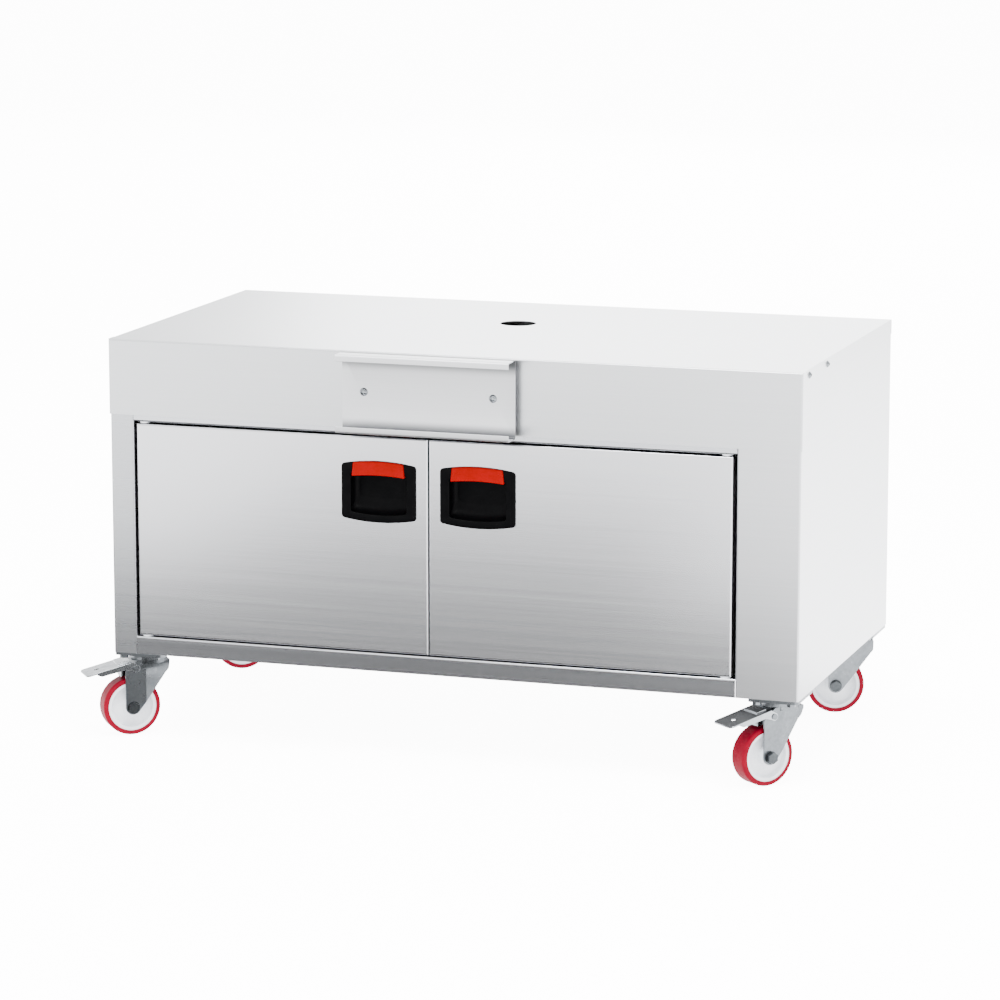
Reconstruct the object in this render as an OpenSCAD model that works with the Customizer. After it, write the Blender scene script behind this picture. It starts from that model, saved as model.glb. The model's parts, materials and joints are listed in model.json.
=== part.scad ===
// Grill cabinet stand: a folded steel cabinet on four braked swivel casters.
// X runs to the right, Y to the back and Z up. The origin is on the floor under the cabinet's centre.

/* [Cabinet] */
// Width across the side panels
body_w = 1200; // [1000:10:1500]
// Depth from the door front to the back rim
body_d = 630; // [540:10:800]
// Height above the casters
body_h = 540; // [460:10:700]
// Thickness of the folded sheet
sheet = 1.5; // [1:0.1:2]
// Inner radius of a fold
fold_r = 1.5; // [0.5:0.1:2.5]
// Width of the post left of the doors
left_post_w = 42; // [34:1:90]
// Width of the post right of the doors
right_post_w = 106; // [34:1:160]
// Depth of the jambs beside the doors
jamb_d = 36; // [34:1:60]
// Width of the folds that close the side panels at the back
back_fold_w = 20; // [10:1:40]

/* [Worktop] */
// Height of the front apron
apron_h = 128; // [90:1:130]
// Width of the apron's return round each corner
apron_return = 22; // [12:1:35]
// Height of the rim down the back
back_rim_h = 25; // [12:1:50]
// Diameter of the hole through the top
hole_d = 62; // [40:1:90]
// Distance of the hole behind the cabinet's centre
hole_y = 66; // [-60:1:70]
// Height of the hat stiffeners under the top
stiffener_h = 25; // [15:1:28]
// Width of the crown of a stiffener
stiffener_w = 50; // [30:1:60]
// Distance of each stiffener from the cabinet's centre
stiffener_y = 160; // [145:1:190]
// Leg of the angles that join the top to the sides
angle_leg = 22; // [19:1:30]

/* [Doors] */
// Distance from the top down to the door opening
opening_drop = 139; // [134:1:150]
// Height of the bottom rail
bottom_rail_h = 31; // [28:1:50]
// Depth of the top rail's lower flange
top_rail_d = 60; // [52:1:62]
// Height of the top rail's face
top_rail_h = 44; // [30:1:58]
// Thickness of a door
door_t = 32; // [30:0.5:33]
// Gap at the left door's hinge edge
left_gap = 5; // [4.5:0.5:8]
// Gap at the right door's hinge edge
right_gap = 7; // [4.5:0.5:10]
// Gap between the doors
centre_gap = 2; // [2:0.5:8]
// Gap above the doors
top_gap = 3.5; // [3:0.5:8]
// Gap below the doors
bottom_gap = 2.5; // [2.5:0.5:6]
// Distance of a pivot from the door's hinge edge
pivot_edge = 12; // [12:0.5:16]
// Distance of a pivot behind the door's front
pivot_in = 10; // [9.5:0.5:11]
// Diameter of the pivot pins
pin_d = 8; // [6:0.5:9]
// Length of pin that stands out of a door
pin_out = 15; // [10:0.5:18]

/* [Handles] */
// Width of a handle
handle_w = 131; // [126:1:150]
// Height of a handle at its sides
handle_h = 91; // [80:1:110]
// Rise of the arched top and bottom edges
handle_rise = 6.5; // [3:0.5:10]
// Distance from the door's top to the handle's highest point
handle_drop = 40; // [25:0.5:60]
// Distance from the door's free edge to the handle
handle_inset = 20; // [12:1:50]
// Thickness of the handle's flange
flange_t = 3; // [2:0.5:5]
// Width of the red cover
cover_w = 88; // [70:1:98]
// Height of the red cover
cover_h = 24; // [24:1:36]
// How far the red cover stands off the flange
cover_t = 3; // [2:0.5:5]
// Depth of the finger bowl behind the door's front
bowl_depth = 26; // [20:0.5:26]
// Wall of the finger bowl
bowl_wall = 2.5; // [1.5:0.5:3]

/* [Bracket] */
// Length of the bracket
bracket_l = 300; // [250:5:500]
// Height of the bracket
bracket_h = 131; // [110:1:132]
// Depth of the bracket from lip to web
bracket_d = 38; // [25:1:60]
// Height of its lips
lip_h = 11; // [8:1:25]
// Gap between the bracket and the apron
standoff = 16; // [8:1:30]
// How far the bracket's top stands above the worktop
bracket_lift = 1; // [0:0.5:3]
// Distance of the bracket's centre left of the cabinet's centre
bracket_x = 26; // [-60:1:80]
// Distance between the bracket's screws
bracket_pitch = 224; // [150:1:230]

/* [Side screws] */
// Distance of the first screw behind the front
side_screw_y = 47; // [44:1:70]
// Distance between the two screws of a side
side_screw_pitch = 120; // [60:1:200]
// Distance of the screws below the top
side_screw_drop = 10; // [10:0.5:13]

/* [Casters] */
// Height from the floor to the top of the plate
caster_h = 147; // [142:1:160]
// Width of the plate across the cabinet
plate_w = 85; // [84:1:94]
// Length of the plate along the cabinet's depth
plate_l = 100; // [100:1:120]
// Distance of the back casters' plates from the cabinet's back
plate_back_gap = 5; // [5:1:40]
// Thickness of the plate
plate_t = 5; // [3:0.5:6]
// Spacing of the plate's screws across the cabinet
screw_pitch_x = 58; // [54:1:58]
// Spacing of the plate's screws along the depth
screw_pitch_y = 80; // [76:1:80]
// Diameter of a wheel
wheel_d = 100; // [90:1:102]
// Width of a tyre
tyre_w = 35; // [24:1:36]
// Thickness of a tyre
tyre_t = 8; // [5:0.5:12]
// Distance of the axle behind the swivel
trail = 35; // [32:1:38]
// Thickness of a fork's leg
leg_t = 3; // [2:0.5:4]
// Radius of the swivel head
head_r = 31; // [29:0.5:31]
// Reach of the brake pedal from the swivel
pedal_reach = 116; // [105:1:130]
// Angle of the front left caster's trail from straight ahead
front_left_turn = 52; // [0:1:80]
// Angle of the front right caster's trail from straight ahead
front_right_turn = 40; // [0:1:80]
// Angle of the back left caster's trail from straight ahead
back_left_turn = 65; // [0:1:80]
// Angle of the back right caster's trail from straight ahead
back_right_turn = 72; // [0:1:80]

/* [Hidden] */
$fn = 48;
// Clearance between nested sheets
fit = 0.3;
// Running clearance of a pin in its hole, on the radius
run = 0.05;
// Clearance of a screw in its hole, on the radius
slack = 0.4;
// Overlap of cutting tools past a face
eps = 1;
// Steps in one fold
fold_steps = 5;
// Outer radius of a fold
bend_r = fold_r + sheet;

// Levels and planes of the cabinet
z_body = caster_h;
z_top = caster_h + body_h;
top_under = z_top - sheet;
half_w = body_w / 2;
y_front = -body_d / 2;
y_back = body_d / 2;
apron_y = y_front - sheet;
apron_x = half_w + fit + sheet;
side_back_y = y_back - sheet - fit;
back_panel_y = side_back_y - sheet;
back_panel_in = back_panel_y - sheet;

// Door opening
open_left = -half_w + left_post_w;
open_right = half_w - right_post_w;
open_top = z_top - opening_drop;
open_bottom = z_body + bottom_rail_h;

// Doors, both of one width
door_w = (open_right - open_left - left_gap - right_gap - centre_gap) / 2;
door_top = open_top - top_gap;
door_bottom = open_bottom + bottom_gap;
left_door_x = open_left + left_gap;
right_door_x = open_right - right_gap;
pivot_y = y_front + pivot_in;
pin_r = pin_d / 2;
pin_in = 25;
pin_plate_w = 36;
pin_plate_d = 17;
pin_plate_t = 3;

// Pivot bushes
bush_wall = 2;
bush_r = pin_r + run + bush_wall;
bush_flange_r = bush_r + 2.5;
bush_flange_t = 2;
bush_l = pin_out - 2;

// Handle, drawn round its own centre
handle_corner = 5;
handle_x = handle_inset + handle_w / 2;
handle_z = door_top - handle_drop - handle_rise - handle_h / 2;
cover_flare = 5;
cover_corner = 2;
cover_edge = 0.5;
cover_lip_t = 3;
cover_lip_d = 18;
cover_lip_edge = 0.6;
peg_r = 2;
peg_x = 30;
peg_drop = 15;
peg_l = flange_t + 1.5;
window_side = 2.5;
window_w = cover_w + cover_flare + 2 * window_side;
window_foot = 13;
bowl_w = handle_w - 19;
bowl_edge = 8.5;
arch_steps = 32;

// Catches
catch_w = 46;
catch_d = 15;
catch_h = 15;
catch_from_edge = 60;
strike_t = 1.2;
strike_w = 40;
strike_h = 14;

// Bracket planes
web_y = apron_y - standoff;
lip_y = web_y - bracket_d;
bracket_top = z_top + bracket_lift;
bracket_fold_r = 2;
bracket_sheet = 2;
bracket_screw_z = bracket_top - bracket_h / 2;
spacer_r = 8;

// Fasteners
m8_r = 4;
m8_af = 13;
m8_button_r = 7;
m8_button_h = 4.4;
m8_nut_h = 6.5;
m8_head_h = 5.3;
m6_r = 3;
m6_dome_r = 6;
m6_dome_h = 4;
rivet_nut_r = 4.4;
rivet_nut_l = 12;
rivet_collar_r = rivet_nut_r + 1;
rivet_collar_t = 2.5;
screw_end = 2;

// Caster rails and the floor that rests on them
rail_w = 96;
rail_web = 3;
rail_h = bottom_rail_h - sheet;
rail_notch_z = z_body + 12;
floor_front = y_front + jamb_d + fit;
floor_side = half_w - sheet - fit;
bearer_w = 70;
bearer_flange = 18;

// Caster, drawn with its trail along +X
wheel_r = wheel_d / 2;
plate_under = caster_h - plate_t;
plate_corner = 6;
boss_r = head_r - 5;
boss_h = 5;
ball_r = 3;
ball_sink = 1;
ball_ring_r = boss_r - 5;
ball_count = 12;
ball_z = plate_under - boss_h + ball_sink - ball_r;
head_top = ball_z - ball_r - fit;
head_t = 6;
head_under = head_top - head_t;
skirt_t = 2.5;
skirt_gap = 1.5;
kingpin_r = 6;
kingpin_head_r = 11;
kingpin_head_h = 5;
kingpin_foot = head_under - fit - kingpin_head_h;
hub_side = 0.5;
boss_w = tyre_w / 2 + 3;
leg_in = boss_w + hub_side;
leg_out = leg_in + leg_t;
axle_r = 5;
axle_washer_r = 10.5;
axle_washer_t = 2;
axle_af = 17;
axle_nut_h = 8;
axle_head_h = 6.4;
sleeve_r = 7.5;
hub_r = wheel_r - tyre_t;
hub_boss_r = 15;
hub_web = 7;
hub_rim_t = 6;
hub_rim_w = tyre_w / 2 - 1;
tyre_shoulder = 4.5;
leg_eye_r = 13;
leg_back_x = trail + leg_eye_r;
leg_front_x = -head_r + 1;
leg_crown_x = head_r - 5;
pivot_x = trail - 5;
pivot_z = head_under - 7.7;
pivot_pin_r = 3;
pivot_ear_r = 7;
pivot_head_t = 1.8;
pedal_t = 2.5;
pedal_slope = 13;
pedal_start = head_r + 5;
pedal_rise = 11.1;
pedal_side_t = 2;
pedal_side_h = 9;
pedal_half = leg_out + 0.5 + pedal_side_t;
pedal_side_end = pedal_reach - 18;
pedal_hole_r = 4.5;
pedal_hole_x = pedal_reach - 23;
lip_from = pedal_start + 4;
lip_to = lip_from + 21;
lip_half = pedal_half - 8;
lip_rise = 3;
shoe_half = 12;
shoe_from = trail + 8;
shoe_to = trail + 18;
shoe_gap = 4.5;

// Where the four swivels stand, and how far each trail has turned about Z
swivel_x = half_w - plate_w / 2;
front_swivel_y = y_front + plate_l / 2;
back_swivel_y = y_back - plate_back_gap - plate_l / 2;
CORNERS = [
    ["front_left_caster", [-swivel_x, front_swivel_y, 0], 270 - front_left_turn],
    ["front_right_caster", [swivel_x, front_swivel_y, 0], 270 - front_right_turn],
    ["back_left_caster", [-swivel_x, back_swivel_y, 0], 270 - back_left_turn],
    ["back_right_caster", [swivel_x, back_swivel_y, 0], 270 - back_right_turn],
];
CABINET_PARTS = [
    "worktop", "worktop_angles", "worktop_stiffeners", "left_side_panel", "right_side_panel",
    "back_panel", "top_rail", "bottom_rail", "floor_panel", "floor_bearer", "left_caster_rail",
    "right_caster_rail", "front_bracket", "bracket_spacers", "bracket_screws", "bracket_nuts",
    "side_screws", "side_rivet_nuts", "pivot_bushes", "magnetic_catches", "plate_screws",
    "plate_nuts", "swivel_balls",
];
DOOR_PARTS = ["skin", "liner", "handle", "grip_cover", "pivot_pins", "strike_plate"];
CASTER_PARTS = ["plate", "fork", "axle", "hub", "tyre", "pedal"];

STEEL = "#D8DADC";
STEEL_SHADE = "#B4B7BA";
ZINC = "#A4A8AA";
BRIGHT_ZINC = "#C6CACD";
BLACK = "#15161A";
RED = "#F01208";
CRIMSON = "#B00D30";
NYLON = "#ECEEF2";

// Vectors in the plane
function unit(v) = v / norm(v);
function left_of(v) = [-v[1], v[0]];
function turned(v, a) = [v[0] * cos(a) - v[1] * sin(a), v[0] * sin(a) + v[1] * cos(a)];
function reversed(list) = [for (i = [len(list) - 1:-1:0]) list[i]];

// Arc round the corner at b, for a line that lies off to the left of a sheet's outer face
function corner_arc(a, b, c, r, t, off) =
    let (
        d1 = unit(b - a),
        d2 = unit(c - b),
        side = sign(cross(d1, d2)),
        angle = acos(d1 * d2),
        base_r = side > 0 ? r + t : r,
        centre = b - d1 * base_r * tan(angle / 2) + left_of(d1) * side * base_r,
        arc_r = base_r - side * off
    )
    [for (k = [0:fold_steps]) centre - turned(left_of(d1), side * angle * k / fold_steps) * side * arc_r];

// Closed outline with a radius at each of its points
function rounded(points, radii) =
    let (n = len(points))
    [for (i = [0:n - 1]) each radii[i] > 0
        ? corner_arc(points[(i + n - 1) % n], points[i], points[(i + 1) % n], radii[i], 0, 0)
        : [points[i]]];
function square_outline(low, high) = [low, [high[0], low[1]], high, [low[0], high[1]]];

// Folded sheet: the path is its outer face, and the sheet lies left of it
function sheet_face(path, off, t, r) =
    let (
        n = len(path) - 1,
        first = left_of(unit(path[1] - path[0])) * off,
        last = left_of(unit(path[n] - path[n - 1])) * off
    )
    concat(
        [path[0] + first],
        [for (i = [1:1:n - 1]) each corner_arc(path[i - 1], path[i], path[i + 1], r, t, off)],
        [path[n] + last]
    );
module folded(path, length, t = sheet, r = fold_r) {
    linear_extrude(length)
        polygon(concat(sheet_face(path, 0, t, r), reversed(sheet_face(path, t, t, r))));
}

// A drawing in Y and Z run along X, and one in X and Z run along Y
module along_x(x) {
    translate([x, 0, 0])
        rotate([90, 0, 90])
            children();
}
module along_y(y) {
    translate([0, y, 0])
        mirror([0, 1, 0])
            rotate([90, 0, 0])
                children();
}
module both_sides() {
    children();
    mirror([1, 0, 0])
        children();
}
module block(low, high) {
    translate(low)
        cube(high - low);
}
module rod_x(p, r, l) {
    translate(p)
        rotate([0, 90, 0])
            cylinder(r = r, h = l);
}
module rod_y(p, r, l) {
    translate(p)
        rotate([-90, 0, 0])
            cylinder(r = r, h = l);
}
module rod_z(p, r, l) {
    translate(p)
        cylinder(r = r, h = l);
}
module hexagon(af, h) {
    rotate([0, 0, 30])
        cylinder(r = af / 2 / cos(30), h = h, $fn = 6);
}
module hex_nut(af, h, r) {
    difference() {
        hexagon(af, h);
        rod_z([0, 0, -eps], r + run, h + 2 * eps);
    }
}

// Button head with a hexagon socket, its seat at z = 0 and its crown up
module button_head(r, h, socket_af) {
    crown_r = (r * r + h * h) / (2 * h);
    difference() {
        intersection() {
            cylinder(r = r, h = h);
            translate([0, 0, h - crown_r])
                sphere(r = crown_r);
        }
        translate([0, 0, h * 0.45])
            hexagon(socket_af, h);
    }
}

// Block with its front corners and two edges of a side view rounded
module pressed_form(low, high, r, profile) {
    plan = [[low[0], high[1]], [low[0], low[1]], [high[0], low[1]], [high[0], high[1]]];
    intersection() {
        translate([0, 0, low[2]])
            linear_extrude(high[2] - low[2])
                polygon(rounded(plan, [0, r, r, 0]));
        along_x(low[0])
            linear_extrude(high[0] - low[0])
                polygon(rounded(profile, [0, r, r, 0]));
    }
}
// Tray upside down, rounded along the top at the back and at the front
module tray_form(low, high, r) {
    pressed_form(low, high, r, [
        [high[1], low[2]], [high[1], high[2]], [low[1], high[2]], [low[1], low[2]]
    ]);
}
// Pan open to the back, rounded all round its front
module pan_form(low, high, r) {
    pressed_form(low, high, r, [
        [high[1], low[2]], [low[1], low[2]], [low[1], high[2]], [high[1], high[2]]
    ]);
}

module worktop() {
    color(STEEL)
        difference() {
            tray_form([-apron_x, apron_y, z_top - apron_h], [apron_x, y_back, z_top], bend_r);
            tray_form([-half_w - fit, y_front, z_top - apron_h - eps],
                [half_w + fit, y_back - sheet, top_under], fold_r);
            both_sides()
                block([half_w, y_front + apron_return, 0], [apron_x + eps, y_back + eps, z_top + eps]);
            block([-apron_x, y_back - 2 * bend_r, 0], [apron_x, y_back + eps, z_top - back_rim_h]);
            rod_z([0, hole_y, top_under - eps], hole_d / 2, sheet + 2 * eps);
            at_bracket_screws()
                rod_y([0, apron_y - eps, 0], m8_r + slack, sheet + 2 * eps);
        }
}

module worktop_angles() {
    outer = half_w - sheet;
    path = [[outer, top_under - angle_leg], [outer, top_under], [outer - angle_leg, top_under]];
    color(STEEL_SHADE)
        both_sides()
            difference() {
                along_y(y_front + 20)
                    folded(path, body_d - 60);
                for (i = [0, 1])
                    rod_x([outer - 2 * sheet, side_screw_at(i)[0], side_screw_at(i)[1]],
                        rivet_nut_r + run, 3 * sheet);
            }
}

// Hat section, its flanges at z = 0 and its crown down
module hat(w, h, flange, length) {
    folded([
        [w / 2 + flange, 0], [w / 2, 0], [w / 2, -h], [-w / 2, -h], [-w / 2, 0], [-w / 2 - flange, 0]
    ], length);
}
module worktop_stiffeners() {
    span = half_w - sheet - angle_leg - fit;
    color(STEEL_SHADE)
        for (y = [-stiffener_y, stiffener_y])
            translate([0, y, top_under])
                along_x(-span)
                    hat(stiffener_w, stiffener_h, bearer_flange, 2 * span);
}

// Right side panel with a post of the given width; the left one is its mirror image
module side_shell(post_w) {
    jamb_x = half_w - post_w;
    path = [
        [jamb_x, y_front + jamb_d], [jamb_x, y_front], [half_w, y_front],
        [half_w, side_back_y], [half_w - back_fold_w, side_back_y],
    ];
    difference() {
        translate([0, 0, z_body])
            folded(path, body_h - sheet);
        block([jamb_x - eps, y_front + bend_r, z_body - eps],
            [jamb_x + bend_r, y_front + jamb_d + eps, open_bottom]);
        block([jamb_x - eps, y_front - eps, top_under - fold_r], [half_w + eps, y_front + bend_r, z_top]);
        block([jamb_x, y_back - bend_r, top_under - fold_r], [half_w + eps, y_back, z_top]);
        for (i = [0, 1])
            rod_x([half_w - sheet - eps, side_screw_at(i)[0], side_screw_at(i)[1]],
                m6_r + slack, sheet + 2 * eps);
    }
}
module left_side_panel() {
    color(STEEL)
        mirror([1, 0, 0])
            side_shell(left_post_w);
}
module right_side_panel() {
    color(STEEL)
        side_shell(right_post_w);
}

module back_panel() {
    side = half_w - bend_r - fit;
    color(STEEL)
        block([-side, back_panel_in, z_body], [side, back_panel_y, top_under]);
}

module at_pivots() {
    for (x = [left_door_x + pivot_edge, right_door_x - pivot_edge])
        translate([x, pivot_y, 0])
            children();
}
module top_rail() {
    path = [[y_front, open_top + top_rail_h], [y_front, open_top], [y_front + top_rail_d, open_top]];
    color(STEEL)
        difference() {
            along_x(open_left)
                folded(path, open_right - open_left);
            at_pivots()
                rod_z([0, 0, open_top - eps], bush_r + run, sheet + 2 * eps);
        }
}

module bottom_rail() {
    path = [[y_front + jamb_d, open_bottom], [y_front, open_bottom], [y_front, z_body]];
    color(STEEL_SHADE)
        difference() {
            along_x(open_left)
                folded(path, open_right - open_left);
            at_pivots()
                rod_z([0, 0, open_bottom - sheet - eps], bush_r + run, sheet + 2 * eps);
        }
}

module floor_panel() {
    color(STEEL_SHADE)
        block([-floor_side, floor_front, open_bottom - sheet], [floor_side, back_panel_in, open_bottom]);
}

module floor_bearer() {
    color(STEEL_SHADE)
        translate([0, 0, open_bottom - sheet])
            along_y(floor_front)
                hat(bearer_w, rail_h - rail_web, bearer_flange, back_panel_in - floor_front);
}

// Channel across the depth that carries two casters
module caster_rail() {
    outer = floor_side;
    inner = outer - rail_w;
    front = y_front + bend_r;
    path = [[inner, z_body + rail_h], [inner, z_body], [outer, z_body], [outer, z_body + rail_h]];
    difference() {
        along_y(front)
            folded(path, back_panel_in - front, rail_web, fold_r);
        block([inner - eps, front - eps, rail_notch_z], [outer - 2 * rail_web, floor_front, z_top]);
        for (y = [front_swivel_y, back_swivel_y])
            translate([swivel_x, y, 0])
                at_plate_screws()
                    rod_z([0, 0, z_body - eps], m8_r + slack, rail_web + 2 * eps);
    }
}
module left_caster_rail() {
    color(STEEL_SHADE)
        mirror([1, 0, 0])
            caster_rail();
}
module right_caster_rail() {
    color(STEEL_SHADE)
        caster_rail();
}

module at_bracket_screws() {
    for (x = [-bracket_pitch / 2, bracket_pitch / 2])
        translate([x - bracket_x, 0, bracket_screw_z])
            children();
}
module front_bracket() {
    low = bracket_top - bracket_h;
    path = [
        [lip_y, low + lip_h], [lip_y, low], [web_y, low],
        [web_y, bracket_top], [lip_y, bracket_top], [lip_y, bracket_top - lip_h],
    ];
    color(STEEL)
        difference() {
            along_x(-bracket_x - bracket_l / 2)
                folded(path, bracket_l, bracket_sheet, bracket_fold_r);
            at_bracket_screws()
                rod_y([0, web_y - bracket_sheet - eps, 0], m8_r + slack, bracket_sheet + 2 * eps);
        }
}

module bracket_spacers() {
    color(ZINC)
        at_bracket_screws()
            difference() {
                rod_y([0, web_y, 0], spacer_r, standoff);
                rod_y([0, web_y - eps, 0], m8_r + slack, standoff + 2 * eps);
            }
}

module bracket_screws() {
    seat_y = web_y - bracket_sheet;
    root = m8_button_h * 0.4;
    color(ZINC)
        at_bracket_screws() {
            translate([0, seat_y, 0])
                rotate([90, 0, 0])
                    button_head(m8_button_r, m8_button_h, 5);
            rod_y([0, seat_y - root, 0], m8_r,
                root + bracket_sheet + standoff + sheet + m8_nut_h + screw_end);
        }
}

module bracket_nuts() {
    color(ZINC)
        at_bracket_screws()
            translate([0, y_front, 0])
                rotate([-90, 0, 0])
                    hex_nut(m8_af, m8_nut_h, m8_r);
}

// Y and Z of a side panel's screws
function side_screw_at(i) = [y_front + side_screw_y + i * side_screw_pitch, z_top - side_screw_drop];
module at_side_screws() {
    both_sides()
        for (i = [0, 1])
            translate([half_w, side_screw_at(i)[0], side_screw_at(i)[1]])
                children();
}
module side_screws() {
    root = m6_dome_h * 0.4;
    inside = sheet + rivet_nut_l + screw_end;
    color(ZINC)
        at_side_screws() {
            rotate([0, 90, 0])
                button_head(m6_dome_r, m6_dome_h, 4);
            rod_x([-inside, 0, 0], m6_r, inside + root);
        }
}

module side_rivet_nuts() {
    color(ZINC)
        at_side_screws()
            translate([-sheet, 0, 0])
                rotate([0, -90, 0])
                    difference() {
                        union() {
                            rod_z([0, 0, 0], rivet_nut_r, rivet_nut_l);
                            rod_z([0, 0, sheet], rivet_collar_r, rivet_collar_t);
                        }
                        rod_z([0, 0, -eps], m6_r + run, rivet_nut_l + 2 * eps);
                    }
}

// Flanged bush, its flange's free face at z = 0 and its body up
module bush() {
    difference() {
        union() {
            rod_z([0, 0, 0], bush_flange_r, bush_flange_t);
            rod_z([0, 0, 0], bush_r, bush_l);
        }
        rod_z([0, 0, -eps], pin_r + run, bush_l + 2 * eps);
    }
}
module pivot_bushes() {
    color(NYLON)
        at_pivots() {
            translate([0, 0, open_top - bush_flange_t])
                bush();
            translate([0, 0, open_bottom + bush_flange_t])
                mirror([0, 0, 1])
                    bush();
        }
}

module magnetic_catches() {
    centre_x = left_door_x + door_w + centre_gap / 2;
    catch_y = y_front + door_t + strike_t + fit;
    color(BLACK)
        for (x = [centre_x - catch_from_edge, centre_x + catch_from_edge])
            difference() {
                block([x - catch_w / 2, catch_y, open_top - catch_h],
                    [x + catch_w / 2, catch_y + catch_d, open_top]);
                block([x - catch_w / 4, catch_y - eps, open_top - catch_h + 3],
                    [x + catch_w / 4, catch_y + 1, open_top - 4]);
            }
}

// Places of the casters, and of the four screws in a caster's plate
module on_corner(corner, turn = 0) {
    translate(corner[1])
        rotate([0, 0, turn])
            children();
}
module at_plate_screws() {
    for (x = [-screw_pitch_x / 2, screw_pitch_x / 2])
        for (y = [-screw_pitch_y / 2, screw_pitch_y / 2])
            translate([x, y, 0])
                children();
}
module plate_screws() {
    color(ZINC)
        for (corner = CORNERS)
            on_corner(corner)
                at_plate_screws() {
                    translate([0, 0, plate_under - m8_head_h])
                        hexagon(m8_af, m8_head_h);
                    rod_z([0, 0, plate_under - eps], m8_r, eps + plate_t + rail_web + m8_nut_h + screw_end);
                }
}
module plate_nuts() {
    color(ZINC)
        for (corner = CORNERS)
            on_corner(corner)
                at_plate_screws()
                    translate([0, 0, z_body + rail_web])
                        hex_nut(m8_af, m8_nut_h, m8_r);
}
module swivel_balls() {
    color(BRIGHT_ZINC)
        for (corner = CORNERS)
            on_corner(corner)
                for (i = [1:ball_count])
                    rotate([0, 0, 360 * i / ball_count])
                        translate([ball_ring_r, 0, ball_z])
                            sphere(r = ball_r);
}

// Both doors are drawn with the hinge edge at x = 0 and the free edge at x = door_w
module on_left_door() {
    translate([left_door_x, 0, 0])
        children();
}
module on_right_door() {
    translate([right_door_x, 0, 0])
        mirror([1, 0, 0])
            children();
}
module at_handle() {
    translate([door_w - handle_x, y_front, handle_z])
        children();
}

// Edge that follows the arch of the handle: up is 1 for the top one and -1 for the bottom one
function handle_arch(x) = handle_h / 2 + handle_rise * (1 - pow(2 * x / handle_w, 2));
function corner_drop(x, w, c) = c - sqrt(max(0, c * c - pow(max(0, abs(x) - w / 2 + c), 2)));
function arch_edge(w, up, inset, c) =
    [for (i = [0:arch_steps]) let (x = -w / 2 * cos(180 * i / arch_steps))
        [x, up * (handle_arch(x) - inset - corner_drop(x, w, c))]];
function arch_outline(w, inset, c) =
    concat(arch_edge(w, 1, inset, c), reversed(arch_edge(w, -1, inset, c)));

module door_skin() {
    color(STEEL)
        difference() {
            pan_form([0, y_front, door_bottom], [door_w, y_front + door_t, door_top], bend_r);
            pan_form([sheet, y_front + sheet, door_bottom + sheet],
                [door_w - sheet, y_front + door_t + eps, door_top - sheet], fold_r);
            at_handle()
                along_y(-eps)
                    linear_extrude(sheet + 2 * eps)
                        polygon(arch_outline(bowl_w + 2 * fit, bowl_edge - fit, handle_corner));
            rod_z([pivot_edge, pivot_y, door_bottom - eps], pin_r + run, door_top - door_bottom + 2 * eps);
        }
}

module door_liner() {
    back = y_front + door_t;
    color(STEEL_SHADE)
        block([sheet + fit, back - sheet, door_bottom + sheet],
            [door_w - sheet - fit, back, door_top - sheet]);
}

module handle() {
    color(BLACK)
        at_handle()
            difference() {
                union() {
                    along_y(-flange_t)
                        linear_extrude(flange_t)
                            polygon(arch_outline(handle_w, 0, handle_corner));
                    along_y(0)
                        linear_extrude(bowl_depth)
                            polygon(arch_outline(bowl_w, bowl_edge, handle_corner));
                }
                along_y(0)
                    linear_extrude(bowl_depth - bowl_wall)
                        polygon(arch_outline(bowl_w - 2 * bowl_wall, bowl_edge + bowl_wall,
                            handle_corner - bowl_wall));
                along_y(-flange_t - eps)
                    linear_extrude(flange_t + 2 * eps)
                        polygon(concat(
                            arch_edge(window_w, 1, cover_h - cover_lip_edge - cover_lip_t - fit, 0),
                            reversed(arch_edge(window_w, -1, window_foot, 3))
                        ));
                for (x = [-peg_x, peg_x])
                    rod_y([x, -flange_t - eps, handle_arch(x) - peg_drop], peg_r + run, flange_t + 2 * eps);
            }
}

module grip_cover() {
    face_y = -flange_t - cover_t;
    lip_w = cover_w + cover_flare - 2 * cover_lip_edge;
    lip_inset = cover_h - cover_lip_edge;
    color(RED)
        at_handle() {
            along_y(face_y)
                linear_extrude(cover_t)
                    polygon(concat(
                        arch_edge(cover_w, 1, cover_edge, cover_corner),
                        reversed(arch_edge(cover_w + cover_flare, 1, cover_h, 0))
                    ));
            along_y(face_y + eps)
                linear_extrude(cover_lip_d - eps)
                    polygon(concat(
                        arch_edge(lip_w, 1, lip_inset - cover_lip_t, 0),
                        reversed(arch_edge(lip_w, 1, lip_inset, 0))
                    ));
            for (x = [-peg_x, peg_x])
                rod_y([x, face_y + eps, handle_arch(x) - peg_drop], peg_r, cover_t - eps + peg_l);
        }
}

module pivot_pins() {
    washer_t = bottom_gap - bush_flange_t - run;
    plate = [bend_r, y_front + bend_r];
    color(ZINC) {
        rod_z([pivot_edge, pivot_y, door_bottom - pin_out], pin_r, pin_out + pin_in);
        rod_z([pivot_edge, pivot_y, door_bottom - washer_t], pin_r + 2.5, washer_t);
        block([plate[0], plate[1], door_bottom + sheet],
            [plate[0] + pin_plate_w, plate[1] + pin_plate_d, door_bottom + sheet + pin_plate_t]);
        rod_z([pivot_edge, pivot_y, door_top - pin_in], pin_r, pin_in + pin_out);
        block([plate[0], plate[1], door_top - sheet - pin_plate_t],
            [plate[0] + pin_plate_w, plate[1] + pin_plate_d, door_top - sheet]);
    }
}

module strike_plate() {
    x = door_w + centre_gap / 2 - catch_from_edge;
    y = y_front + door_t;
    top = door_top - 0.5;
    color(ZINC)
        block([x - strike_w / 2, y, top - strike_h], [x + strike_w / 2, y + strike_t, top]);
}

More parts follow.
